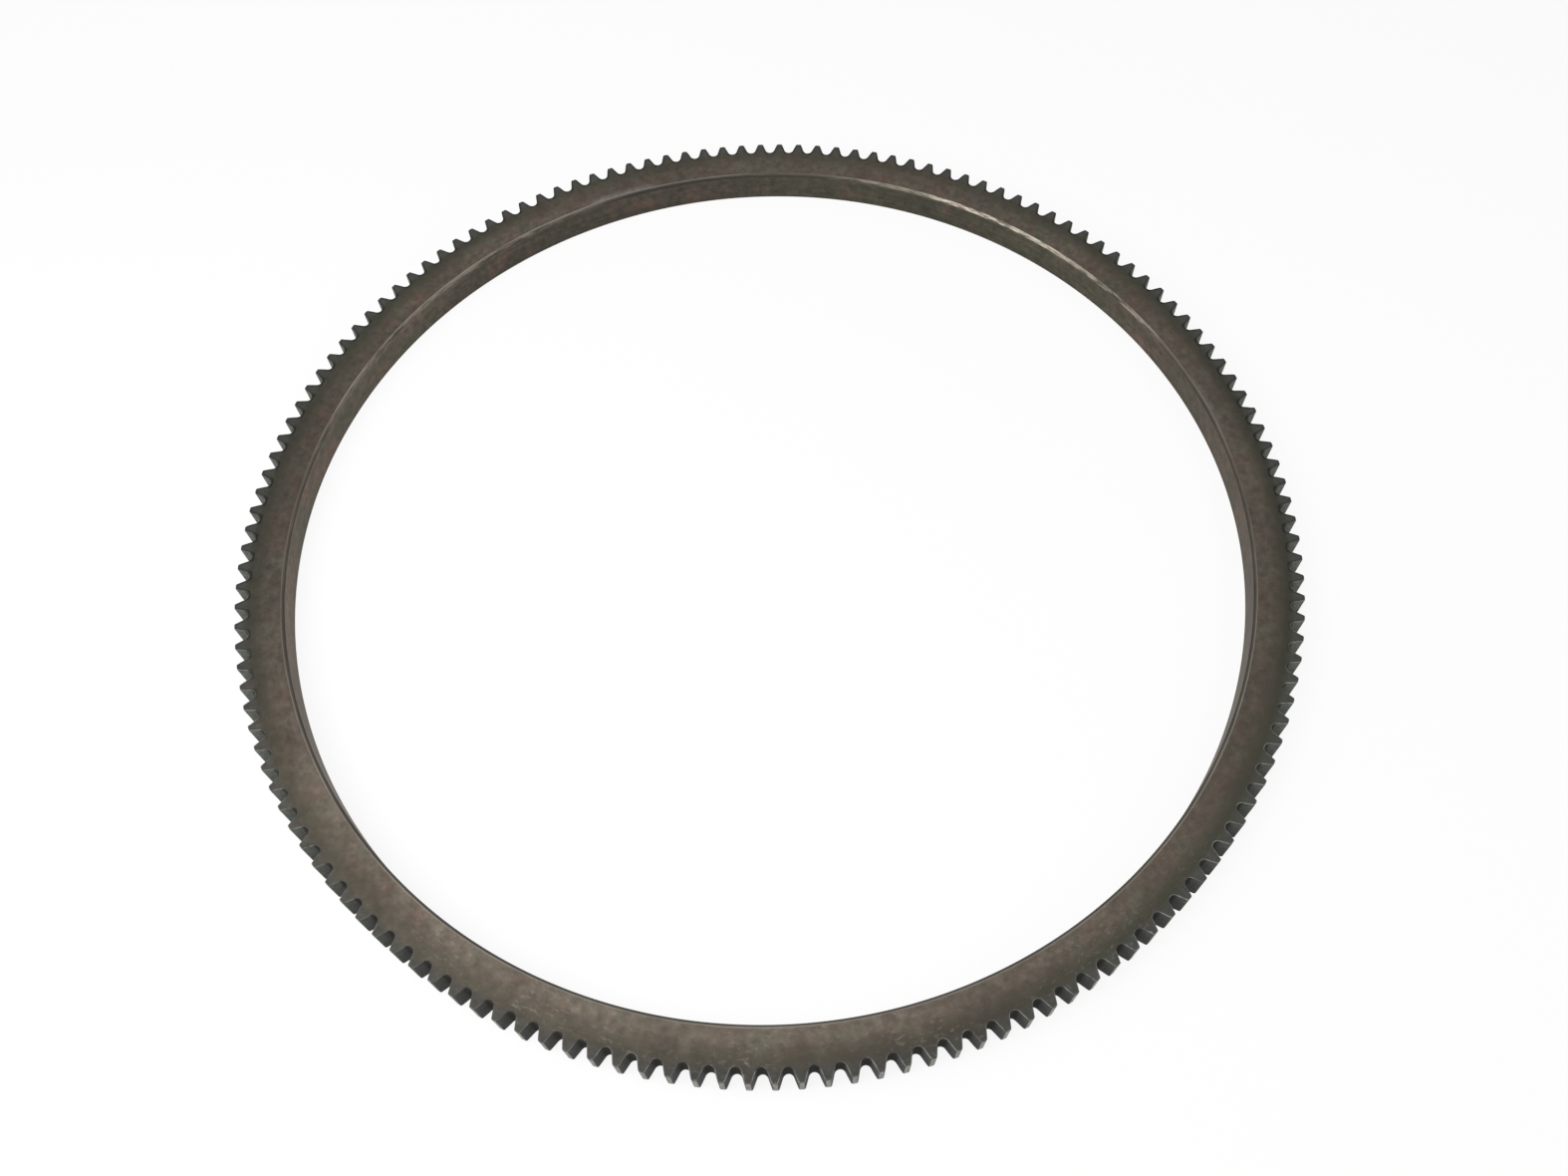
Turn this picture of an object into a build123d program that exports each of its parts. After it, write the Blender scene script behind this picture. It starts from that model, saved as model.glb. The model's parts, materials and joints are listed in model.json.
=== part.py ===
from build123d import *
import os
from math import acos, cos, hypot, pi, radians, sin, sqrt, tan

# Steel starter ring gear of an engine flywheel, lying flat on its lower face.
# Millimetres. +Z is the axis of the ring, and the origin is the centre of the lower face.
# It is one piece: a plain rectangular rim, with straight stub teeth hobbed into its outside
# and a plain bore that is shrunk onto the flywheel.

# Teeth. The spacing is that of 10 teeth to the inch of pitch diameter, and the height is that
# of the finer 12 pitch, which makes the short, strong stub tooth of a starter drive.
tooth_count = 148
module = 2.54               # pitch diameter over the number of teeth
pressure_angle = 20.0       # degrees, at the pitch circle
addendum = 2.117            # height of a tooth outside the pitch circle
dedendum = 2.646            # depth of a gap inside the pitch circle
backlash = 0.45             # how much narrower than half the pitch a tooth is cut

# Rim
face_width = 12.7           # from the lower to the upper face
rim_wall = 12.6             # from the bottom of the gaps to the bore
bore_chamfer = 1.0          # lead-in at the upper end of the bore; the lower end is sharp

# Worked out from the sizes above
pitch_radius = module * tooth_count / 2
base_radius = pitch_radius * cos(radians(pressure_angle))
tip_radius = pitch_radius + addendum
root_radius = pitch_radius - dedendum
bore_radius = root_radius - rim_wall
half_step = pi / tooth_count

flank_points = 5            # of the involute, enough to hold it within a hundredth of a micron
settling_turns = 30         # of a sum that comes three times closer with each turn


def polar(radius, angle):
    return Vector(radius * cos(angle), radius * sin(angle))


def slope(radius):
    """Pressure angle of the flank at this radius, in radians."""
    return acos(base_radius / radius)


def half_tooth(radius):
    """Half the angle that a tooth fills at this radius, between its involute flanks."""
    half_at_pitch = (pi * module / 2 - backlash) / (2 * pitch_radius)
    unwound_at_pitch = tan(slope(pitch_radius)) - slope(pitch_radius)
    unwound = tan(slope(radius)) - slope(radius)
    return half_at_pitch + unwound_at_pitch - unwound


def on_flank(radius):
    return polar(radius, half_tooth(radius))


def gap_rounding():
    """Radius of the round bottom of a gap, which meets both flanks and the root circle.

    The curve that runs beside an involute at a fixed distance is the same involute, turned by
    that distance over the base radius. The centre of the rounding lies on that curve of both
    flanks, so it lies in the middle of the gap.
    """
    rounding = 0.0
    for _ in range(settling_turns):
        rounding = base_radius * (half_step - half_tooth(root_radius + rounding))
    return rounding


def foot_radius():
    """Radius at which a flank runs into the round bottom of the gap."""
    rounding = gap_rounding()
    string = sqrt((root_radius + rounding) ** 2 - base_radius**2) - rounding
    return hypot(base_radius, string)


def tooth_edges():
    """The tooth on +X, and the bottom of the gap that follows it."""
    foot = foot_radius()
    share = [point / (flank_points - 1) for point in range(flank_points)]
    flank = Spline(*(on_flank(tip_radius + (foot - tip_radius) * part) for part in share))
    other_flank = flank.mirror(Plane.XZ)
    # Along so narrow a land the tip circle leaves a straight line by 2 microns
    tip_land = Line(other_flank @ 0, flank @ 0)
    gap_bottom = ThreePointArc(
        flank @ 1, polar(root_radius, half_step), polar(foot, 2 * half_step - half_tooth(foot))
    )
    return [tip_land, flank, other_flank, gap_bottom]


def toothed_outline():
    tooth = tooth_edges()
    return Wire([turn * edge for turn in PolarLocations(0, tooth_count) for edge in tooth])


def ring_gear():
    """The rim with its teeth, and the bore with a lead-in at its upper end."""
    section = Face(toothed_outline(), [Wire.make_circle(bore_radius)])
    ring = extrude(section, face_width)
    bore_rims = ring.edges().filter_by(lambda edge: edge.is_closed)
    return chamfer(bore_rims.sort_by(Axis.Z).last, bore_chamfer)


os.makedirs("parts", exist_ok=True)
export_step(ring_gear(), "parts/ring_gear.step")
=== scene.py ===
"""Looks of a steel starter ring gear that lies on a pale studio floor.

The file is laid out as an add-on: sizes and colours are properties, and one operator makes the
ring and one the stage. Run as a script it calls both.
"""
import json
import math
from types import SimpleNamespace

import bpy
import numpy as np
from bpy.props import FloatProperty, FloatVectorProperty, IntProperty, PointerProperty
from mathutils import Matrix, Vector


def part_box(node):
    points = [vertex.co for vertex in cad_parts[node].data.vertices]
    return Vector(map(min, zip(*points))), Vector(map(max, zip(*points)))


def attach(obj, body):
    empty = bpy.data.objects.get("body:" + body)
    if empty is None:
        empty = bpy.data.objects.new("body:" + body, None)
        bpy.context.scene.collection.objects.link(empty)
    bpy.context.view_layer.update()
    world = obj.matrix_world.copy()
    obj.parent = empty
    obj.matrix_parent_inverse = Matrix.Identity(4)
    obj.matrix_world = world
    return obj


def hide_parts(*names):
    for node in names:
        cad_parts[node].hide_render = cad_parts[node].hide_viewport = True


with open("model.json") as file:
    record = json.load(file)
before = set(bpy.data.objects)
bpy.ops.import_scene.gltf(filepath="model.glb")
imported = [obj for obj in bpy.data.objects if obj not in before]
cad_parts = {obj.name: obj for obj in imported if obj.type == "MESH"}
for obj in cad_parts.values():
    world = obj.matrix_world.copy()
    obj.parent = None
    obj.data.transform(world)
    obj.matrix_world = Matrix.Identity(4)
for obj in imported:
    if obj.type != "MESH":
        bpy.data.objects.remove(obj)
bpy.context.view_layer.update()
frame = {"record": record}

bl_info = {
    "name": "Starter Ring Gear",
    "version": (1, 0, 0),
    "blender": (4, 5, 0),
    "location": "View3D > Sidebar > Ring Gear",
    "description": "Makes a starter ring gear of hardened steel and a studio to show it in",
    "category": "Add Mesh",
}

NODE = "ring_gear"
BODY = "root"
MILLIMETRE = 0.001
LOWEST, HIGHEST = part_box(NODE)
MOUNTS = {mount["name"]: mount for mount in frame["record"]["mounts"]}

# The net of the ring
TIP_POINTS = 5                          # of the rounding at each side of a tip
FLANK_POINTS = 3                        # between the roundings
GAP_POINTS = 6                          # of half a gap's round bottom
EDGE_TURNS = (90, 60, 30, 0)            # degrees, of the edge break at the ends of the teeth
CORNER_STEPS = (0.0, 0.33, 0.67, 1.0)   # of the rounding at each edge at the ends of the bore
LAND_COLUMNS = 2                        # worn bare at each side of the middle of a tip
SETTLING_TURNS = 30                     # of a sum that comes three times closer with each turn

# Wear of the edges at the ends of the teeth. A column is one step of the net round the ring.
EDGE_WAVES = ((0.6, 40), (0.4, 4))      # share of the unevenness, and columns to each wave
NICK_ASIDE = 7                          # most columns from the middle of a tooth to its nick
NICK_SHARES = (0.4, 1.0)                # of the most that a nick takes off
NICK_REACHES = (1.0, 2.2)               # columns over which a nick fades
NICK_END = 6                            # columns past which nothing of it is left

# Numbers of the ring's materials
FACE, TEETH, TIPS, CHAMFER, BORE = range(5)


def linear(code):
    """Linear red, green and blue of an sRGB hex colour."""
    parts = [int(code[place:place + 2], 16) / 255 for place in (1, 3, 5)]
    return tuple(
        part / 12.92 if part <= 0.04045 else ((part + 0.055) / 1.055) ** 2.4 for part in parts
    )


def length(name, description, millimetres):
    """Settings of a length property."""
    return dict(
        name=name, description=description, default=millimetres * MILLIMETRE,
        min=0.0, unit="LENGTH", precision=5,
    )


def colour(name, description, code):
    """Settings of a colour property."""
    return dict(
        name=name, description=description, default=linear(code),
        min=0.0, max=1.0, subtype="COLOR", size=3,
    )


class RingGearSizes(bpy.types.PropertyGroup):
    tooth_count: IntProperty(
        name="Teeth", description="Number of teeth", default=148, min=12
    )
    module: FloatProperty(**length("Module", "Pitch diameter over the number of teeth", 2.54))
    pressure_angle: FloatProperty(
        name="Pressure angle", description="Slope of the flanks at the pitch circle",
        default=math.radians(20), subtype="ANGLE", unit="ROTATION",
    )
    dedendum: FloatProperty(**length("Dedendum", "Depth of a gap inside the pitch circle", 2.646))
    backlash: FloatProperty(
        **length("Backlash", "How much narrower than half the pitch a tooth is", 0.45)
    )
    tip_round: FloatProperty(**length("Tip round", "Rounding of the long edges at the tips", 0.6))
    edge_break: FloatProperty(
        **length("Edge break", "Rounding of the edges at both ends of the teeth", 0.25)
    )
    bore_radius: FloatProperty(
        **length("Bore radius", "Radius of the plain bore", MOUNTS["bore"]["dims"]["r_mm"])
    )
    bore_chamfer: FloatProperty(
        **length("Bore chamfer", "Lead-in at the upper end of the bore", 1.0)
    )
    chamfer_round: FloatProperty(
        **length("Chamfer round", "Rounding of the edges at the ends of the bore", 0.35)
    )


class RingGearWear(bpy.types.PropertyGroup):
    uneven: FloatProperty(
        name="Uneven edges", description="Share by which the edge breaks vary",
        default=0.35, min=0.0, max=0.9, subtype="FACTOR",
    )
    nick_share: FloatProperty(
        name="Nicked teeth", description="Share of the teeth with a nick at an end",
        default=0.22, min=0.0, max=1.0, subtype="FACTOR",
    )
    nick_size: FloatProperty(**length("Nick size", "Most that a nick takes off an edge", 0.35))
    seed: IntProperty(name="Seed", description="Start of the random numbers", default=7)


class RingGearFinish(bpy.types.PropertyGroup):
    oxide: FloatVectorProperty(**colour("Oxide", "Brown film on the turned faces", "#554d44"))
    rust: FloatVectorProperty(**colour("Rust tint", "Reddish patches of the film", "#58483f"))
    olive: FloatVectorProperty(**colour("Olive tint", "Greenish patches of the film", "#4f4e41"))
    scorch: FloatVectorProperty(
        **colour("Scorched band", "Dark film of the rim beside the hardened teeth", "#3a392f")
    )
    hardened: FloatVectorProperty(
        **colour("Tooth ends", "Matt scale on the ends of the hardened teeth", "#383934")
    )
    flank: FloatVectorProperty(**colour("Flanks", "Scale on the flanks of the teeth", "#686c64"))
    # Near black of the gaps: partly old oil, partly painted shade of the deep narrow gaps
    gap: FloatVectorProperty(**colour("Gaps", "Scale and old oil in the gaps", "#17140f"))
    bare: FloatVectorProperty(**colour("Bare steel", "Steel worn bright", "#92918c"))
    chamfer: FloatVectorProperty(**colour("Chamfer", "Dark film on the chamfer", "#413c34"))
    # Pale chamfer band: partly steel rubbed bare, partly a painted highlight of the key light
    rubbed: FloatVectorProperty(**colour("Rubbed chamfer", "Chamfer rubbed bare", "#a39b8d"))
    bored: FloatVectorProperty(**colour("Bore", "Film on the bored wall", "#4b463e"))


class RingGearStage(bpy.types.PropertyGroup):
    floor: FloatVectorProperty(**colour("Floor", "Paper floor and backdrop", "#ffffff"))
    key_power: FloatProperty(
        name="Key light", description="Power of the large soft light at the left",
        default=3.1, min=0.0, unit="POWER",
    )
    top_power: FloatProperty(
        name="Top light", description="Power of the soft light above the near side",
        default=1.0, min=0.0, unit="POWER",
    )
    fill_power: FloatProperty(
        name="Fill light", description="Power of the weak light at the right",
        default=0.7, min=0.0, unit="POWER",
    )


class ToothForm:
    """Outline of a tooth in the plane of the ring, as complex numbers in metres."""

    def __init__(self, sizes):
        self.half_step = math.pi / sizes.tooth_count
        self.pitch_radius = sizes.module * sizes.tooth_count / 2
        self.base_radius = self.pitch_radius * math.cos(sizes.pressure_angle)
        self.root_radius = self.pitch_radius - sizes.dedendum
        self.tip_radius = HIGHEST.x
        self.tip_round = sizes.tip_round
        thickness = math.pi * sizes.module / 2 - sizes.backlash
        self.half_at_pitch = thickness / (2 * self.pitch_radius)

    def slope(self, radius):
        """Pressure angle of the flank at this radius."""
        return math.acos(self.base_radius / radius)

    def half_angle(self, radius):
        """Half the angle that a tooth fills at this radius, between its involute flanks."""
        at_pitch, here = self.slope(self.pitch_radius), self.slope(radius)
        unwound = math.tan(at_pitch) - at_pitch - math.tan(here) + here
        return self.half_at_pitch + unwound

    def on_flank(self, radius):
        return radius * np.exp(1j * self.half_angle(radius))

    def gap_round(self):
        """Radius of the round bottom of a gap, and the radius at which a flank runs into it.

        The curve beside an involute at a fixed distance is the same involute, turned by that
        distance over the base radius.
        """
        rounding = 0.0
        for _ in range(SETTLING_TURNS):
            to_middle = self.half_step - self.half_angle(self.root_radius + rounding)
            rounding = self.base_radius * to_middle
        string = math.sqrt((self.root_radius + rounding) ** 2 - self.base_radius**2) - rounding
        return rounding, math.hypot(self.base_radius, string)

    def tip_corner(self):
        """Centre of the rounding at a tip, and the radius at which it meets the flank."""
        centre_radius = self.tip_radius - self.tip_round
        angle = self.half_angle(centre_radius) - self.tip_round / self.base_radius
        string = math.sqrt(centre_radius**2 - self.base_radius**2) + self.tip_round
        return centre_radius * np.exp(1j * angle), math.hypot(self.base_radius, string)

    def half_outline(self):
        """Points and outward normals from the middle of a tooth to the middle of a gap."""
        tip_centre, head = self.tip_corner()
        rounding, foot = self.gap_round()
        gap_middle = np.exp(1j * self.half_step)
        gap_centre = (self.root_radius + rounding) * gap_middle

        turn = np.linspace(
            np.angle(tip_centre), np.angle(self.on_flank(head) - tip_centre), TIP_POINTS
        )
        tip_normals = np.exp(1j * turn)
        tip = tip_centre + self.tip_round * tip_normals

        radii = np.linspace(head, foot, FLANK_POINTS + 2)[1:-1]
        flank = np.array([self.on_flank(radius) for radius in radii])
        flank_normals = np.array(
            [np.exp(1j * (np.angle(p) + math.pi / 2 - self.slope(abs(p)))) for p in flank]
        )

        start = np.angle((gap_centre - self.on_flank(foot)) / gap_middle)
        gap_normals = gap_middle * np.exp(1j * np.linspace(start, 0, GAP_POINTS))
        gap = gap_centre - rounding * gap_normals

        points = np.concatenate([[self.tip_radius], tip, flank, gap])
        normals = np.concatenate([[1], tip_normals, flank_normals, gap_normals])
        return points, normals

    def outline(self, tooth_count):
        """Columns of the whole ring: points, normals, and each column's number on its tooth."""
        points, normals = self.half_outline()
        points = np.concatenate([points[:0:-1].conj(), points[:-1]])
        normals = np.concatenate([normals[:0:-1].conj(), normals[:-1]])
        turns = np.exp(2j * math.pi * np.arange(tooth_count) / tooth_count)
        return (
            np.outer(turns, points).ravel(),
            np.outer(turns, normals).ravel(),
            np.tile(np.arange(len(points)), tooth_count),
        )


def smooth_noise(rng, count, coarse):
    """Seeded noise round the ring from -1 to 1, with one free value to every few columns."""
    values = rng.uniform(-1, 1, max(4, count // coarse))
    values = np.append(values, values[0])
    places = np.linspace(0, len(values) - 1, count, endpoint=False)
    low = places.astype(int)
    share = places - low
    share = share * share * (3 - 2 * share)
    return values[low] * (1 - share) + values[low + 1] * share


def edge_breaks(rng, wear, sizes, count):
    """How far the edge at one end of the teeth is broken, column by column."""
    noise = sum(share * smooth_noise(rng, count, coarse) for share, coarse in EDGE_WAVES)
    breaks = sizes.edge_break * (1 + wear.uneven * noise)
    per_tooth = count // sizes.tooth_count
    middle = per_tooth // 2
    for tooth in np.flatnonzero(rng.uniform(size=sizes.tooth_count) < wear.nick_share):
        place = tooth * per_tooth + middle + rng.integers(-NICK_ASIDE, NICK_ASIDE + 1)
        depth = wear.nick_size * rng.uniform(*NICK_SHARES)
        reach = rng.uniform(*NICK_REACHES)
        near = np.arange(place - NICK_END, place + NICK_END + 1)
        breaks[near % count] += depth * np.exp(-((near - place) / reach) ** 2)
    return breaks


def bore_rows(sizes, thickness):
    """Radius and height of the rows from the lower face through the bore to the upper one."""
    bore, chamfer = sizes.bore_radius, sizes.bore_chamfer
    corners = np.array([
        (bore + 2 * chamfer, 0), (bore, 0), (bore, thickness - chamfer),
        (bore + chamfer, thickness), (bore + 2 * chamfer, thickness),
    ])
    # From the corner to where the rounding starts. The chamfer's corners turn by 45 degrees.
    tangent = sizes.chamfer_round * math.tan(math.radians(45 / 2))
    rows = []
    for before, corner, after in zip(corners, corners[1:], corners[2:]):
        start = corner + (before - corner) / np.linalg.norm(before - corner) * tangent
        end = corner + (after - corner) / np.linalg.norm(after - corner) * tangent
        for share in CORNER_STEPS:   # a parabola, close to the arc
            rows.append(
                start * (1 - share) ** 2 + corner * 2 * share * (1 - share) + end * share**2
            )
    return rows


def finishes(row, on_tooth, tooth_rows):
    """Number of the material of each face of the net."""
    finish = np.full(row.shape, FACE)
    outside = row < tooth_rows - 1
    finish[outside] = TEETH
    middle = on_tooth.max() // 2 + 1
    land = (on_tooth >= middle - LAND_COLUMNS) & (on_tooth < middle + LAND_COLUMNS)
    finish[outside & land] = TIPS
    # The bore's lower corner and its wall, then the chamfer between its own two corners
    steps = len(CORNER_STEPS)
    in_bore = row - tooth_rows
    finish[(in_bore >= 0) & (in_bore < steps)] = BORE
    finish[(in_bore >= steps) & (in_bore < 3 * steps - 1)] = CHAMFER
    return finish


def ring_mesh(sizes, wear):
    """The whole ring as one closed net of rows round its section and columns round its axis."""
    rng = np.random.default_rng(wear.seed)
    points, normals, on_tooth = ToothForm(sizes).outline(sizes.tooth_count)
    count = len(points)
    thickness = HIGHEST.z - LOWEST.z
    directions = points / abs(points)

    rows = []   # of each row, its points in the plane and their heights
    upper, lower = (edge_breaks(rng, wear, sizes, count) for _ in range(2))
    for turn in np.radians(EDGE_TURNS):
        inset = upper * (1 - np.cos(turn))
        rows.append((points - normals * inset, thickness - upper * (1 - np.sin(turn))))
    for turn in np.radians(EDGE_TURNS[::-1]):
        inset = lower * (1 - np.cos(turn))
        rows.append((points - normals * inset, lower * (1 - np.sin(turn))))
    tooth_rows = len(rows)
    for radius, height in bore_rows(sizes, thickness):
        rows.append((directions * radius, np.full(count, height)))

    vertices = np.array([[p.real, p.imag, z] for p, z in rows]).transpose(0, 2, 1)
    row_count = len(rows)
    row, column = np.meshgrid(np.arange(row_count), np.arange(count), indexing="ij")
    next_row, next_column = (row + 1) % row_count, (column + 1) % count
    faces = np.stack(
        [row * count + column, next_row * count + column,
         next_row * count + next_column, row * count + next_column], axis=-1,
    ).reshape(-1, 4)

    mesh = bpy.data.meshes.new(NODE)
    mesh.from_pydata(vertices.reshape(-1, 3).tolist(), [], faces.tolist())
    mesh.shade_smooth()
    mesh.polygons.foreach_set(
        "material_index", finishes(row, on_tooth[column], tooth_rows).ravel()
    )
    mesh.validate()
    return mesh


def add(tree, kind, *values, out=None, named=None, **settings):
    """Adds a node with its settings. Values go to its sockets in order, as numbers or links."""
    node = tree.nodes.new(kind)
    for name, value in settings.items():
        setattr(node, name, value)
    shown = [socket for socket in node.inputs if socket.enabled]
    pairs = list(zip(shown, values))
    for name, value in (named or {}).items():
        pairs.append((next(socket for socket in shown if socket.name == name), value))
    for socket, value in pairs:
        if isinstance(value, bpy.types.NodeSocket):
            tree.links.new(value, socket)
        elif value is not None:
            if socket.type == "RGBA" and len(value) == 3:
                value = (*value, 1)
            socket.default_value = value
    if out:
        return node.outputs[out]
    return next((socket for socket in node.outputs if socket.enabled), node)


def ring_coordinates(tree):
    """Place on the ring and its radius and height in millimetres, and its direction."""
    place = add(tree, "ShaderNodeTexCoord", out="Object")
    place = add(
        tree, "ShaderNodeVectorMath", place, named={"Scale": 1 / MILLIMETRE}, operation="SCALE"
    )
    flat = add(tree, "ShaderNodeVectorMath", place, (1, 1, 0), operation="MULTIPLY")
    return SimpleNamespace(
        place=place,
        radius=add(tree, "ShaderNodeVectorMath", flat, operation="LENGTH", out="Value"),
        direction=add(tree, "ShaderNodeVectorMath", flat, operation="NORMALIZE"),
        height=add(tree, "ShaderNodeSeparateXYZ", place, out="Z"),
    )


def new_material(name):
    material = bpy.data.materials.new(name)
    material.use_nodes = True
    tree = material.node_tree
    tree.nodes.clear()
    return material, tree


def finish_surface(tree, tone, roughness, metallic, height, depth, edge_tint="#ffffff"):
    """The shader itself, with fine relief of this depth in metres."""
    bump = add(
        tree, "ShaderNodeBump", named={"Height": height, "Distance": depth, "Strength": 1.0}
    )
    surface = add(
        tree, "ShaderNodeBsdfPrincipled",
        named={
            "Base Color": tone, "Roughness": roughness, "Metallic": metallic, "Normal": bump,
            "Specular Tint": linear(edge_tint),
        },
    )
    add(tree, "ShaderNodeOutputMaterial", surface)


def from_middle(tree, height):
    """Distance from the middle of the thickness, in millimetres."""
    half = (HIGHEST.z - LOWEST.z) / MILLIMETRE / 2
    above = add(tree, "ShaderNodeMath", height, half, operation="SUBTRACT")
    return add(tree, "ShaderNodeMath", above, operation="ABSOLUTE")


RIM_RADIUS = 180.0    # about the middle of the rim, in millimetres
NOISE = (0.3, 0.7)    # nearly all values of a noise lie between these


def lathe_marks(tree, direction, across, run, pitch):
    """Noise drawn out round the ring: marks this long and this far apart, in millimetres."""
    round_ring = add(
        tree, "ShaderNodeVectorMath", direction, named={"Scale": RIM_RADIUS / run},
        operation="SCALE",
    )
    across = add(tree, "ShaderNodeMath", across, 1 / pitch, operation="MULTIPLY")
    across = add(tree, "ShaderNodeCombineXYZ", 0.0, 0.0, across)
    where = add(tree, "ShaderNodeVectorMath", round_ring, across, operation="ADD")
    return add(
        tree, "ShaderNodeTexNoise", where, named={"Scale": 1.0, "Detail": 3.0, "Roughness": 0.6}
    )


def arc(tree, direction, middle, reach, soft):
    """1 along the arc of the ring about this direction, fading to 0 past its ends. Degrees."""
    aim = (math.cos(math.radians(middle)), math.sin(math.radians(middle)), 0)
    nearness = add(
        tree, "ShaderNodeVectorMath", direction, aim, operation="DOT_PRODUCT", out="Value"
    )
    return add(
        tree, "ShaderNodeMapRange", nearness, math.cos(math.radians(reach + soft)),
        math.cos(math.radians(reach)), 0.0, 1.0, interpolation_type="SMOOTHSTEP",
    )


def along(tree, direction, arcs, elsewhere=0.0):
    """A value that each arc of the ring adds to: middle, reach and fading, and how much."""
    total = elsewhere
    for middle, reach, soft, share in arcs:
        total = add(
            tree, "ShaderNodeMath", arc(tree, direction, middle, reach, soft), share, total,
            operation="MULTIPLY_ADD",
        )
    return total


def shaded(tree, tone, value, shades, span=(0.0, 1.0)):
    """Multiplies a tone by a shade that goes from one to the other as a value crosses a span."""
    shade = add(tree, "ShaderNodeMapRange", value, *span, *shades)
    return add(tree, "ShaderNodeMix", 1.0, tone, shade, data_type="RGBA", blend_type="MULTIPLY")


def toned(tree, tone, direction, arcs):
    """Multiplies a tone by each arc's shade: middle, reach and fading in degrees, and shade."""
    for middle, reach, soft, shade in arcs:
        tone = shaded(tree, tone, arc(tree, direction, middle, reach, soft), (1.0, shade))
    return tone


def speckled(tree, tone, noise, contrast):
    """Multiplies a tone by a noise about its middle value."""
    shade = add(tree, "ShaderNodeMath", noise, 0.5, operation="SUBTRACT")
    shade = add(tree, "ShaderNodeMath", shade, contrast, 1.0, operation="MULTIPLY_ADD")
    return add(tree, "ShaderNodeMix", 1.0, tone, shade, data_type="RGBA", blend_type="MULTIPLY")


SPOT_SIZE = 2.7       # of the fine mottling of a film, in millimetres


def stained(tree, place, size, tone, rust, olive, share, mottle):
    """A film's tone, reddish in some clouds and greenish in others, and finely mottled.

    Also the noise of the clouds, which are of this size in millimetres.
    """
    clouds = add(
        tree, "ShaderNodeTexNoise", place,
        named={"Scale": 1 / size, "Detail": 5.0, "Roughness": 0.65},
    )
    for tint, full_at in ((rust, 0.66), (olive, 0.34)):   # the noise's high and its low half
        cover = add(
            tree, "ShaderNodeMapRange", clouds, 0.5, full_at, 0.0, share,
            interpolation_type="SMOOTHSTEP",
        )
        tone = add(tree, "ShaderNodeMix", cover, tone, tint, data_type="RGBA")
    spots = add(
        tree, "ShaderNodeTexNoise", place,
        named={"Scale": 1 / SPOT_SIZE, "Detail": 3.0, "Roughness": 0.6},
    )
    tone = shaded(tree, tone, spots, (1 - mottle, 1 + mottle), span=(0.32, 0.68))
    return tone, clouds


GAP_BLEND = 2.0       # millimetres over which the flanks run into the bottom of a gap


def inside_outline(tree, ring, sizes):
    """Distance in millimetres from the outline of the teeth, on their ends."""
    form = ToothForm(sizes)
    root, tip = form.root_radius, form.tip_radius
    east = add(tree, "ShaderNodeSeparateXYZ", ring.direction, out="X")
    north = add(tree, "ShaderNodeSeparateXYZ", ring.direction, out="Y")
    turn = add(tree, "ShaderNodeMath", north, east, operation="ARCTAN2")
    turn = add(tree, "ShaderNodeMath", turn, 1 / (2 * form.half_step), operation="MULTIPLY")
    aside = add(tree, "ShaderNodeMath", turn, 0.5, operation="PINGPONG")
    aside = add(
        tree, "ShaderNodeMath", aside, math.pi * sizes.module / MILLIMETRE, operation="MULTIPLY"
    )
    half_tooth = add(
        tree, "ShaderNodeMapRange", ring.radius, root / MILLIMETRE, tip / MILLIMETRE,
        root * form.half_angle(root) / MILLIMETRE, tip * form.half_angle(tip) / MILLIMETRE,
    )
    from_flank = add(tree, "ShaderNodeMath", half_tooth, aside, operation="SUBTRACT")
    from_gap = add(tree, "ShaderNodeMath", root / MILLIMETRE, ring.radius, operation="SUBTRACT")
    inside = add(
        tree, "ShaderNodeMath", from_flank, from_gap, GAP_BLEND, operation="SMOOTH_MAX"
    )
    from_tip = add(tree, "ShaderNodeMath", tip / MILLIMETRE, ring.radius, operation="SUBTRACT")
    return add(tree, "ShaderNodeMath", inside, from_tip, operation="MINIMUM")


# The upper face. Sizes of its patterns, and how far the scorched band's edge wanders with its
# clouds and its grain, in millimetres
FACE_CLOUDS, FACE_DRIFTS, FACE_GRAIN, FACE_BLOTCHES = 8.0, 38.0, 2.0, 3.6
CLOUD_WANDER, GRAIN_WANDER = 5.0, 2.5
# Radii in millimetres, from and to, over which one look gives way to the next
RUBBED_CORNER = (174.1, 173.75)
SMUDGED_RIM = (177.0, 173.8)
OUTER_RIM = (176.5, 180.0)
SCORCHED_RIM = (181.5, 188.6)
TOOTH_ENDS = (184.6, 187.6)
# Millimetres inside the outline of the teeth, on their ends
DARK_OUTLINE = (1.15, 0.45)
# Arcs of the ring: middle, reach and fading in degrees
DARKER_OUTWARD = (-105, 35, 25)
LESS_SCORCHED = (88, 22, 22)
BROWNER = (-118, 38, 25)
NO_DARK_OUTLINE = (-90, 60, 30)
SCUFFED = (-92, 22, 38)
# The same, and how much
FACE_STAINS = ((-92, 28, 30, -0.20), (50, 20, 16, 0.35), (130, 20, 16, 0.30))
FACE_CONTRAST = ((-75, 40, 30, -0.25), (-35, 18, 22, -0.35))
BLOTCHED = ((-138, 20, 35, 0.65), (-85, 20, 20, 0.3))
LIGHT_CORNERS = ((-90, 60, 40, 0.8), (134, 20, 14, 0.6), (98, 6, 4, 0.5), (14, 1, 5, 0.5))
SMUDGES = ((107, 2, 4, 1.0), (14, 1, 5, 0.35))
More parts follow.
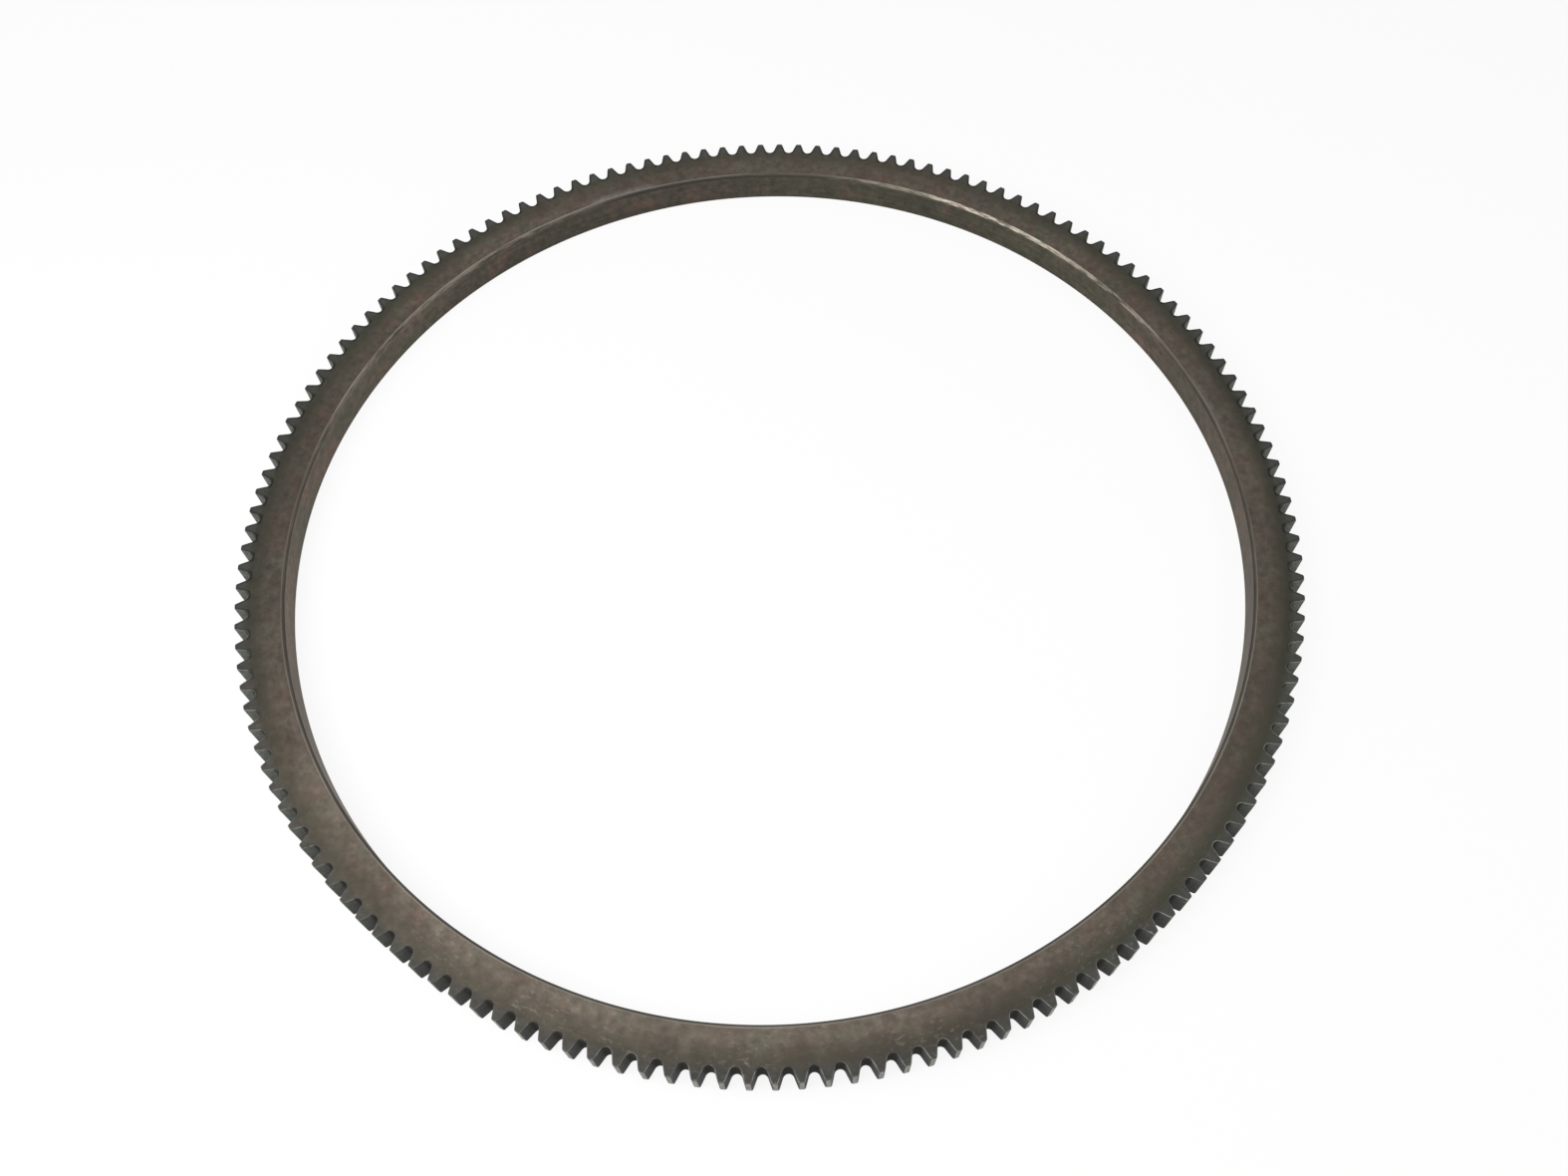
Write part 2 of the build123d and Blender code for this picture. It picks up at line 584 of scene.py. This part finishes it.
# The same, and the shade: partly the film's own unevenness, partly painted shade round the ring
FACE_PAINTED_SHADES = ((172, 20, 18, 0.71), (-28, 14, 16, 0.86))
SCORCH_PAINTED_SHADES = ((0, 14, 14, 0.86), (180, 14, 14, 0.84), (-88, 14, 16, 0.77))
TOOTH_END_PAINTED_SHADES = ((85, 35, 25, 1.07), (172, 16, 16, 0.74), (-88, 14, 16, 0.72))


def rim_film(tree, ring, finish):
    """Taupe film in soft clouds, darker outward. Also the noises of its clouds and drifts."""
    patchy = along(tree, ring.direction, FACE_STAINS, elsewhere=0.65)
    tone, clouds = stained(
        tree, ring.place, FACE_CLOUDS, finish.oxide, finish.rust, finish.olive, patchy, 0.20
    )
    drifts = add(
        tree, "ShaderNodeTexNoise", ring.place,
        named={"Scale": 1 / FACE_DRIFTS, "Detail": 2.0, "Roughness": 0.5},
    )
    tone = shaded(tree, tone, drifts, (0.88, 1.12), span=(0.35, 0.65))
    # Painted shade on the arcs where less light falls
    tone = toned(tree, tone, ring.direction, FACE_PAINTED_SHADES)
    outward = add(tree, "ShaderNodeMapRange", ring.radius, *OUTER_RIM, 0.0, 1.0)
    tone = shaded(tree, tone, outward, (1.0, 0.94))
    darker = arc(tree, ring.direction, *DARKER_OUTWARD)
    outward = add(tree, "ShaderNodeMath", outward, darker, operation="MULTIPLY")
    return shaded(tree, tone, outward, (1.0, 0.85)), clouds, drifts


def scorched(tree, ring, finish, tone, clouds, grain, on_tooth):
    """The scorched band, which wanders with the film's clouds, and the ends of the teeth."""
    wander = add(tree, "ShaderNodeMath", clouds, CLOUD_WANDER, operation="MULTIPLY")
    wander = add(tree, "ShaderNodeMath", grain, GRAIN_WANDER, wander, operation="MULTIPLY_ADD")
    wander = add(tree, "ShaderNodeMath", wander, ring.radius, operation="ADD")
    scorch = add(
        tree, "ShaderNodeMapRange", wander, *SCORCHED_RIM, 0.0, 1.0,
        interpolation_type="SMOOTHSTEP",
    )
    weaker = arc(tree, ring.direction, *LESS_SCORCHED)
    weaker = add(tree, "ShaderNodeMapRange", weaker, 0.0, 1.0, 1.0, 0.65)
    scorch = add(tree, "ShaderNodeMath", scorch, weaker, operation="MULTIPLY")
    browner = arc(tree, ring.direction, *BROWNER)
    browner = add(tree, "ShaderNodeMapRange", browner, 0.0, 1.0, 0.0, 0.18)
    # Both films also get painted shade on their arcs
    for film, shades, cover in (
        (finish.scorch, SCORCH_PAINTED_SHADES, scorch), (finish.hardened, TOOTH_END_PAINTED_SHADES, on_tooth),
    ):
        film = add(tree, "ShaderNodeMix", browner, film, finish.rust, data_type="RGBA")
        film = toned(tree, film, ring.direction, shades)
        tone = add(tree, "ShaderNodeMix", cover, tone, film, data_type="RGBA")
    return tone


def outlined(tree, ring, tone, sizes):
    """A dark line along the outline of the teeth on their ends, but not on the near side."""
    line = add(
        tree, "ShaderNodeMapRange", inside_outline(tree, ring, sizes), *DARK_OUTLINE, 0.0, 0.72,
        interpolation_type="SMOOTHSTEP",
    )
    near_side = arc(tree, ring.direction, *NO_DARK_OUTLINE)
    elsewhere = add(tree, "ShaderNodeMath", 1.0, near_side, operation="SUBTRACT")
    line = add(tree, "ShaderNodeMath", line, elsewhere, operation="MULTIPLY")
    return shaded(tree, tone, line, (1.0, 0.0))


def scuffed(tree, ring, finish, tone, drifts, grain, marks):
    """Bare steel in short scuffs, along the corner with the chamfer and in smudges beside it."""
    scuffs = lathe_marks(tree, ring.direction, ring.radius, run=2.2, pitch=1.0)
    scuffs = add(tree, "ShaderNodeMapRange", scuffs, 0.56, 0.74, 0.0, 0.28)
    in_patches = add(
        tree, "ShaderNodeMapRange", drifts, 0.42, 0.58, 0.25, 1.0,
        interpolation_type="SMOOTHSTEP",
    )
    corner = add(tree, "ShaderNodeMapRange", ring.radius, *RUBBED_CORNER, 0.0, 0.5)
    smudge = add(
        tree, "ShaderNodeMapRange", ring.radius, *SMUDGED_RIM, 0.0, 0.8,
        interpolation_type="SMOOTHSTEP",
    )
    for bare, *shares in (
        (scuffs, arc(tree, ring.direction, *SCUFFED), in_patches),
        (corner, along(tree, ring.direction, LIGHT_CORNERS), marks),
        (smudge, along(tree, ring.direction, SMUDGES), grain),
    ):
        for share in shares:
            bare = add(tree, "ShaderNodeMath", bare, share, operation="MULTIPLY")
        tone = add(tree, "ShaderNodeMix", bare, tone, finish.bare, data_type="RGBA")
    return tone


def turned_steel(finish, sizes):
    """Medium carbon steel, turned, with the brown film of heat and old oil.

    The eye sees a dull taupe in soft clouds, fine rings of the turning tool, pale scuffs on the
    near side, and a scorched band where the hardening of the teeth coloured the rim. The teeth's
    own ends are matt and greenish grey. The rings are drawn at 0.6 mm instead of about 0.2 mm,
    so that they show.
    """
    material, tree = new_material("turned_steel_brown_oxide")
    ring = ring_coordinates(tree)
    grain = add(
        tree, "ShaderNodeTexNoise", ring.place,
        named={"Scale": 1 / FACE_GRAIN, "Detail": 5.0, "Roughness": 0.60},
    )
    blotches = add(
        tree, "ShaderNodeTexNoise", ring.place,
        named={"Scale": 1 / FACE_BLOTCHES, "Detail": 2.0, "Roughness": 0.5},
    )
    marks = lathe_marks(tree, ring.direction, ring.radius, run=50, pitch=0.6)
    on_tooth = add(
        tree, "ShaderNodeMapRange", ring.radius, *TOOTH_ENDS, 0.0, 1.0,
        interpolation_type="SMOOTHSTEP",
    )

    tone, clouds, drifts = rim_film(tree, ring, finish)
    tone = scorched(tree, ring, finish, tone, clouds, grain, on_tooth)
    tone = outlined(tree, ring, tone, sizes)
    contrast = along(tree, ring.direction, FACE_CONTRAST, elsewhere=1.0)
    contrast = add(tree, "ShaderNodeMath", on_tooth, 0.9, contrast, operation="MULTIPLY_ADD")
    tone = speckled(tree, tone, grain, contrast)
    tone = shaded(tree, tone, marks, (0.94, 1.06), span=NOISE)
    tone = speckled(tree, tone, blotches, along(tree, ring.direction, BLOTCHED))
    tone = scuffed(tree, ring, finish, tone, drifts, grain, marks)

    metallic = add(tree, "ShaderNodeMapRange", on_tooth, 0.0, 1.0, 0.75, 0.25)
    rough = add(tree, "ShaderNodeMapRange", clouds, *NOISE, 0.46, 0.58)
    rough = add(tree, "ShaderNodeMath", on_tooth, 0.18, rough, operation="MULTIPLY_ADD")
    relief = add(tree, "ShaderNodeMath", marks, 0.5, grain, operation="MULTIPLY_ADD")
    finish_surface(tree, tone, rough, metallic, relief, 0.025 * MILLIMETRE)
    return material


# The teeth. Sizes of the scale's grain and of the breaks in the rubbed line, and the distance
# between the feed marks, in millimetres
SCALE_GRAIN, LINE_BREAKS, FEED = 1.3, 4.0, 1.6
# Heights in millimetres, from and to, over which the painted shade of flanks and gaps lightens
FLANK_PAINTED_SHADE = (1.0, 9.0)
GAP_PAINTED_SHADOW = (1.0, 12.0)
# Radii in millimetres
GAP_BOTTOM = (187.0, 185.8)
# Millimetres from the middle of the thickness
RUBBED_EDGE = (5.95, 6.2)
# Arcs of the ring: middle, reach and fading in degrees, and for some the shade
LIGHT_EDGES = (-90, 65, 30)
FAINT_EDGES = (-136, 16, 14)
# Painted shade on the flanks of the near side
NEAR_FLANK_PAINTED_SHADE = ((-88, 25, 45, 0.36),)
# Painted light: the gaps lighter along this arc
GAP_PAINTED_LIGHT = ((-115, 8, 12, 2.4),)


def hardened_steel(finish):
    """Hobbed steel, darkened by induction hardening.

    Greenish grey scale with dark pores and feed marks across the flanks, darker low down and on
    the near side by painted shade. The bottom of the gaps is almost black, partly from old oil
    and dirt and partly painted shade, with a painted shadow that is darkest low down. The edges
    at the ends of the teeth have rubbed to a thin broken line, light on the near side and dark
    elsewhere.
    """
    material, tree = new_material("hobbed_steel_hardening_scale")
    ring = ring_coordinates(tree)
    grain = add(
        tree, "ShaderNodeTexNoise", ring.place,
        named={"Scale": 1 / SCALE_GRAIN, "Detail": 4.0, "Roughness": 0.75},
    )
    pores = add(tree, "ShaderNodeMapRange", grain, 0.50, 0.34, 0.0, 0.7)
    tone = add(tree, "ShaderNodeMix", pores, finish.flank, finish.gap, data_type="RGBA")
    # Painted shade: flanks darker low down, and much darker on the near side
    tone = shaded(tree, tone, ring.height, (0.35, 1.0), span=FLANK_PAINTED_SHADE)
    tone = toned(tree, tone, ring.direction, NEAR_FLANK_PAINTED_SHADE)
    # Gap bottoms near black: partly old oil, partly painted shade, with a painted shadow low down
    deep = add(
        tree, "ShaderNodeMapRange", ring.radius, *GAP_BOTTOM, 0.0, 1.0,
        interpolation_type="SMOOTHSTEP",
    )
    dirt = shaded(tree, finish.gap, ring.height, (0.05, 1.5), span=GAP_PAINTED_SHADOW)
    dirt = toned(tree, dirt, ring.direction, GAP_PAINTED_LIGHT)
    tone = add(tree, "ShaderNodeMix", deep, tone, dirt, data_type="RGBA")

    edge = add(
        tree, "ShaderNodeMapRange", from_middle(tree, ring.height), *RUBBED_EDGE, 0.0, 1.3
    )
    weaker = add(tree, "ShaderNodeMapRange", deep, 0.0, 1.0, 1.0, 0.75)
    broken = add(
        tree, "ShaderNodeTexNoise", ring.place,
        named={"Scale": 1 / LINE_BREAKS, "Detail": 2.0, "Roughness": 0.5},
    )
    broken = add(tree, "ShaderNodeMapRange", broken, 0.40, 0.60, 0.40, 1.30)
    fainter = arc(tree, ring.direction, *FAINT_EDGES)
    fainter = add(tree, "ShaderNodeMapRange", fainter, 0.0, 1.0, 1.0, 0.35)
    for share in (grain, weaker, broken, fainter):
        edge = add(tree, "ShaderNodeMath", edge, share, operation="MULTIPLY")
    light = arc(tree, ring.direction, *LIGHT_EDGES)
    line = add(tree, "ShaderNodeMix", light, finish.gap, finish.bare, data_type="RGBA")
    tone = add(tree, "ShaderNodeMix", edge, tone, line, data_type="RGBA")

    feed = add(tree, "ShaderNodeMath", ring.height, 2 * math.pi / FEED, operation="MULTIPLY")
    feed = add(tree, "ShaderNodeMath", feed, operation="SINE")
    relief = add(tree, "ShaderNodeMath", feed, 0.3, grain, operation="MULTIPLY_ADD")
    rough = add(tree, "ShaderNodeMapRange", deep, 0.0, 1.0, 0.78, 0.95)
    finish_surface(tree, tone, rough, 0.2, relief, 0.04 * MILLIMETRE)
    return material


# The tips of the teeth. Size of the pits in millimetres, and millimetres from the middle of the
# thickness from and to which the scale still holds
TIP_PITS = 1.0
TIP_ENDS = (4.6, 6.0)
# Arcs of the ring: middle, reach and fading in degrees, and shade of a painted highlight
TIP_PAINTED_HIGHLIGHTS = ((-133, 10, 14, 1.25), (-46, 10, 14, 1.30))


def worn_steel(finish):
    """Turned steel worn bare on the tips of the teeth.

    Bright grey with dark pits, and darker towards the edges where the scale still holds. Painted
    highlights lighten it on two arcs.
    """
    material, tree = new_material("bare_steel_worn_tips")
    ring = ring_coordinates(tree)
    pits = add(
        tree, "ShaderNodeTexNoise", ring.place,
        named={"Scale": 1 / TIP_PITS, "Detail": 4.0, "Roughness": 0.75},
    )
    edge = add(
        tree, "ShaderNodeMapRange", from_middle(tree, ring.height), *TIP_ENDS, 0.0, 0.16
    )
    dirt = add(tree, "ShaderNodeMath", pits, edge, operation="SUBTRACT")
    dirt = add(tree, "ShaderNodeMapRange", dirt, 0.38, 0.56, 0.9, 0.05)
    tone = add(tree, "ShaderNodeMix", dirt, finish.bare, finish.hardened, data_type="RGBA")
    tone = toned(tree, tone, ring.direction, TIP_PAINTED_HIGHLIGHTS)
    rough = add(tree, "ShaderNodeMapRange", pits, *NOISE, 0.62, 0.45)
    finish_surface(tree, tone, rough, 0.8, pits, 0.05 * MILLIMETRE)
    return material


# The chamfer. Millimetres from the middle of the thickness
CHAMFER_TOP = (5.6, 6.1)
CHAMFER_CORNER = (6.15, 6.33)
# Arcs of the ring: middle, reach and fading in degrees, and how much or the shade
# Rubbed streaks, which also carry a painted highlight of the key light
CHAMFER_RUBS_AND_HIGHLIGHT = ((54, 3, 9, 0.78), (65, 4, 11, 0.30), (37, 5, 8, 0.44), (138, 12, 20, 0.22))
# Painted shade on the arcs where the chamfer reflects no light
CHAMFER_PAINTED_SHADES = ((86, 14, 16, 0.50), (110, 10, 14, 0.85), (0, 12, 16, 0.85))


def chamfered_steel(finish):
    """Turned chamfer under the dark film, rubbed bare by handling.

    A thin dark line round most of the bore, darker on some arcs by painted shade. Where it has
    been rubbed it is a pale, streaky band, widest at the far right, partly bare steel and partly
    a painted highlight of the key light, and its corner with the face is a fine lighter line.
    """
    material, tree = new_material("turned_steel_rubbed_chamfer")
    ring = ring_coordinates(tree)
    marks = lathe_marks(tree, ring.direction, ring.height, run=5, pitch=0.35)
    patches = lathe_marks(tree, ring.direction, ring.height, run=28, pitch=3.0)
    level = from_middle(tree, ring.height)
    top = add(
        tree, "ShaderNodeMapRange", level, *CHAMFER_TOP, 0.0, 1.0, interpolation_type="SMOOTHSTEP"
    )
    tone = add(tree, "ShaderNodeMix", top, finish.chamfer, finish.oxide, data_type="RGBA")
    tone = toned(tree, tone, ring.direction, CHAMFER_PAINTED_SHADES)
    tone = shaded(tree, tone, marks, (0.85, 1.15), span=NOISE)
    tone = shaded(tree, tone, patches, (0.80, 1.20), span=(0.35, 0.65))

    streaks = add(tree, "ShaderNodeMath", marks, 1.6, patches, operation="MULTIPLY_ADD")
    streaks = add(
        tree, "ShaderNodeMapRange", streaks, 1.05, 1.50, 0.0, 1.0, interpolation_type="SMOOTHSTEP"
    )
    # Pale streaks: rubbed bare steel with a painted highlight in the same band
    rubs_and_highlight = along(tree, ring.direction, CHAMFER_RUBS_AND_HIGHLIGHT)
    streaks = add(tree, "ShaderNodeMath", rubs_and_highlight, streaks, operation="MULTIPLY")
    rubbed = shaded(tree, finish.rubbed, marks, (0.82, 1.18), span=NOISE)
    tone = add(tree, "ShaderNodeMix", streaks, tone, rubbed, data_type="RGBA")

    corner = add(tree, "ShaderNodeMapRange", level, *CHAMFER_CORNER, 0.0, 1.0)
    light = along(tree, ring.direction, LIGHT_CORNERS, elsewhere=0.25)
    for share in (patches, light):
        corner = add(tree, "ShaderNodeMath", corner, share, operation="MULTIPLY")
    tone = add(tree, "ShaderNodeMix", corner, tone, finish.bare, data_type="RGBA")
    finish_surface(tree, tone, 0.5, 0.7, marks, 0.03 * MILLIMETRE)
    return material


# The bore. Size of the stains, and heights from and to, in millimetres
WALL_STAINS = 13.0
WALL_FOOT = (0.0, 4.0)
WALL_TOP = (10.3, 11.6)
# Arcs of the ring: middle, reach and fading in degrees, and for some the shade
GREENER_WALL = (62, 18, 16)
# Partly the wall's own film, partly painted light and shade: lighter on two arcs, darker on three
WALL_PAINTED_LIGHT_AND_SHADE = (
    (90, 34, 30, 0.87), (-28, 10, 14, 0.82), (212, 10, 14, 0.86), (160, 18, 18, 1.24),
    (28, 14, 16, 1.14),
)


def bored_steel(finish):
    """Bored wall under a thin film.

    Fine rings from the boring tool, drawn at 0.9 mm instead of about 0.2 mm so that they show,
    and long stains round the ring, with painted light and shade on some arcs.
    """
    material, tree = new_material("bored_steel_thin_film")
    ring = ring_coordinates(tree)
    greener = arc(tree, ring.direction, *GREENER_WALL)
    film = add(tree, "ShaderNodeMath", greener, 0.6, operation="MULTIPLY")
    film = add(tree, "ShaderNodeMix", film, finish.bored, finish.olive, data_type="RGBA")
    patchy = add(tree, "ShaderNodeMapRange", greener, 0.0, 1.0, 0.75, 0.50)
    tone, stains = stained(
        tree, ring.place, WALL_STAINS, film, finish.rust, finish.olive, patchy, 0.26
    )
    tone = toned(tree, tone, ring.direction, WALL_PAINTED_LIGHT_AND_SHADE)
    tone = shaded(tree, tone, stains, (0.80, 1.20), span=NOISE)
    marks = lathe_marks(tree, ring.direction, ring.height, run=45, pitch=0.9)
    tone = shaded(tree, tone, marks, (0.82, 1.18), span=NOISE)
    tone = shaded(tree, tone, ring.height, (0.80, 1.0), span=WALL_FOOT)
    tone = shaded(tree, tone, ring.height, (1.0, 1.2), span=WALL_TOP)
    finish_surface(tree, tone, 0.44, 0.75, marks, 0.02 * MILLIMETRE, edge_tint="#e6ded6")
    return material


# The studio
EVEN_SHARE = 0.88     # of the floor's white that no shadow takes away
FILL = 0.35           # strength of the room's own light
FLOOR_HALF = 6.0      # half the floor's side, in metres
# Soft lights: place, what they aim at and side, in metres
LIGHTS = {
    "key": ((-0.42, -0.18, 0.58), (0.0, 0.0, 0.0), 0.5),
    "top": ((-0.05, -0.16, 0.70), (0.0, -0.1, 0.0), 0.3),
    "fill": ((0.55, -0.25, 0.45), (0.0, 0.0, 0.0), 0.4),
}
# The photograph's camera: place in metres, and turns in radians from a look at the origin
CAMERA_PLACE = (0.0, -0.26463, 0.46270)
YAW, PITCH, ROLL = -0.00968382, -0.02650210, 0.06436515
PHOTO_WIDTH = 1574      # pixels
FOCAL_LENGTH = 1454.1   # pixels
SENSOR = 36.0           # millimetres
NEAR_CLIP = 0.01        # metres


def seen_or_mirrored(tree):
    """1 for rays from the camera, and 1 for those and for rays off the steel or through glass."""
    at_camera = add(tree, "ShaderNodeLightPath", out="Is Camera Ray")
    seen = at_camera
    for ray in ("Is Glossy Ray", "Is Transmission Ray"):
        seen = add(tree, "ShaderNodeMath", seen, at_camera.node.outputs[ray], operation="MAXIMUM")
    return at_camera, seen


def paper_floor(stage):
    """White paper, evenly white to the camera and to the steel, that still takes the shadow."""
    material, tree = new_material("white_paper_floor")
    _, seen = seen_or_mirrored(tree)
    share = add(tree, "ShaderNodeMath", seen, EVEN_SHARE, operation="MULTIPLY")
    paper = add(tree, "ShaderNodeBsdfDiffuse", stage.floor)
    white = add(tree, "ShaderNodeEmission", stage.floor, 1.0)
    surface = add(tree, "ShaderNodeMixShader", share, paper, white)
    add(tree, "ShaderNodeOutputMaterial", surface)
    return material


def backdrop(stage):
    """A room that is white to the camera and to the steel, and gives an even fill light."""
    world = bpy.data.worlds.new("studio")
    world.use_nodes = True
    tree = world.node_tree
    tree.nodes.clear()
    at_camera, seen = seen_or_mirrored(tree)
    strength = add(tree, "ShaderNodeMapRange", seen, 0.0, 1.0, FILL, 1.0)
    as_floor = add(
        tree, "ShaderNodeMapRange", at_camera, 0.0, 1.0, 1.0,
        EVEN_SHARE + (1 - EVEN_SHARE) * FILL,
    )
    strength = add(tree, "ShaderNodeMath", strength, as_floor, operation="MULTIPLY")
    light = add(tree, "ShaderNodeBackground", stage.floor, strength)
    add(tree, "ShaderNodeOutputWorld", light)
    bpy.context.scene.world = world


def camera():
    """Camera at the angle of the photograph."""
    right = Vector((1, 0, 0))
    forward = -Vector(CAMERA_PLACE).normalized()
    up = right.cross(forward)
    turn = Matrix.Rotation(YAW, 3, up)
    forward, right = turn @ forward, turn @ right
    turn = Matrix.Rotation(PITCH, 3, right)
    forward, up = turn @ forward, turn @ up
    turn = Matrix.Rotation(ROLL, 3, forward)
    right, up = turn @ right, turn @ up
    data = bpy.data.cameras.new("camera")
    data.sensor_fit = "HORIZONTAL"
    data.sensor_width = SENSOR
    data.lens = FOCAL_LENGTH / PHOTO_WIDTH * SENSOR
    data.clip_start = NEAR_CLIP
    data.dof.use_dof = False
    eye = bpy.data.objects.new("camera", data)
    turned = Matrix((right, up, -forward)).transposed().to_4x4()
    eye.matrix_world = Matrix.Translation(CAMERA_PLACE) @ turned
    bpy.context.scene.collection.objects.link(eye)
    bpy.context.scene.camera = eye


def soft_light(name, place, aim, size, power):
    data = bpy.data.lights.new(name, "AREA")
    data.shape = "SQUARE"
    data.size = size
    data.energy = power
    light = bpy.data.objects.new(name, data)
    toward = Vector(aim) - Vector(place)
    light.location = place
    light.rotation_euler = toward.to_track_quat("-Z", "Y").to_euler()
    bpy.context.scene.collection.objects.link(light)


class OBJECT_OT_ring_gear(bpy.types.Operator):
    """Make the ring gear: one closed mesh with its five finishes"""
    bl_idname = "ring_gear.make_ring"
    bl_label = "Ring Gear"
    bl_options = {"REGISTER", "UNDO"}

    def execute(self, context):
        scene = context.scene
        mesh = ring_mesh(scene.ring_gear_sizes, scene.ring_gear_wear)
        finish = scene.ring_gear_finish
        materials = {
            FACE: turned_steel(finish, scene.ring_gear_sizes), TEETH: hardened_steel(finish),
            TIPS: worn_steel(finish), CHAMFER: chamfered_steel(finish), BORE: bored_steel(finish),
        }
        for number in sorted(materials):
            mesh.materials.append(materials[number])
        ring = bpy.data.objects.new("starter_ring", mesh)
        scene.collection.objects.link(ring)
        ring.modifiers.new("Even shading", "WEIGHTED_NORMAL").keep_sharp = False
        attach(ring, BODY)
        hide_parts(NODE)
        return {"FINISHED"}


class OBJECT_OT_ring_gear_stage(bpy.types.Operator):
    """Make the floor, the lights and the camera"""
    bl_idname = "ring_gear.make_stage"
    bl_label = "Studio"
    bl_options = {"REGISTER", "UNDO"}

    def execute(self, context):
        scene = context.scene
        stage = scene.ring_gear_stage
        mesh = bpy.data.meshes.new("floor")
        corners = [
            (x * FLOOR_HALF, y * FLOOR_HALF, 0) for x, y in ((-1, -1), (1, -1), (1, 1), (-1, 1))
        ]
        mesh.from_pydata(corners, [], [(0, 1, 2, 3)])
        mesh.materials.append(paper_floor(stage))
        floor = bpy.data.objects.new("floor", mesh)
        scene.collection.objects.link(floor)
        backdrop(stage)
        for name, (place, aim, size) in LIGHTS.items():
            soft_light(f"{name}_light", place, aim, size, getattr(stage, f"{name}_power"))
        camera()
        scene.view_settings.view_transform = "Standard"
        return {"FINISHED"}


class VIEW3D_PT_ring_gear(bpy.types.Panel):
    """Sidebar panel with the ring's sizes, wear and finish, the studio, and the two operators"""
    bl_label = "Ring Gear"
    bl_idname = "VIEW3D_PT_ring_gear"
    bl_space_type = "VIEW_3D"
    bl_region_type = "UI"
    bl_category = "Ring Gear"

    def draw(self, context):
        for group in GROUPS:
            settings = getattr(context.scene, group)
            box = self.layout.box()
            for name in settings.__annotations__:
                box.prop(settings, name)
        for operator in (OBJECT_OT_ring_gear, OBJECT_OT_ring_gear_stage):
            self.layout.operator(operator.bl_idname)


GROUPS = {
    "ring_gear_sizes": RingGearSizes,
    "ring_gear_wear": RingGearWear,
    "ring_gear_finish": RingGearFinish,
    "ring_gear_stage": RingGearStage,
}
CLASSES = (
    *GROUPS.values(), OBJECT_OT_ring_gear, OBJECT_OT_ring_gear_stage, VIEW3D_PT_ring_gear
)


def register():
    for each in CLASSES:
        bpy.utils.register_class(each)
    for name, group in GROUPS.items():
        setattr(bpy.types.Scene, name, PointerProperty(type=group))


def unregister():
    for name in GROUPS:
        delattr(bpy.types.Scene, name)
    for each in reversed(CLASSES):
        bpy.utils.unregister_class(each)


def main():
    register()
    bpy.ops.ring_gear.make_ring()
    bpy.ops.ring_gear.make_stage()


if __name__ == "__main__":
    main()
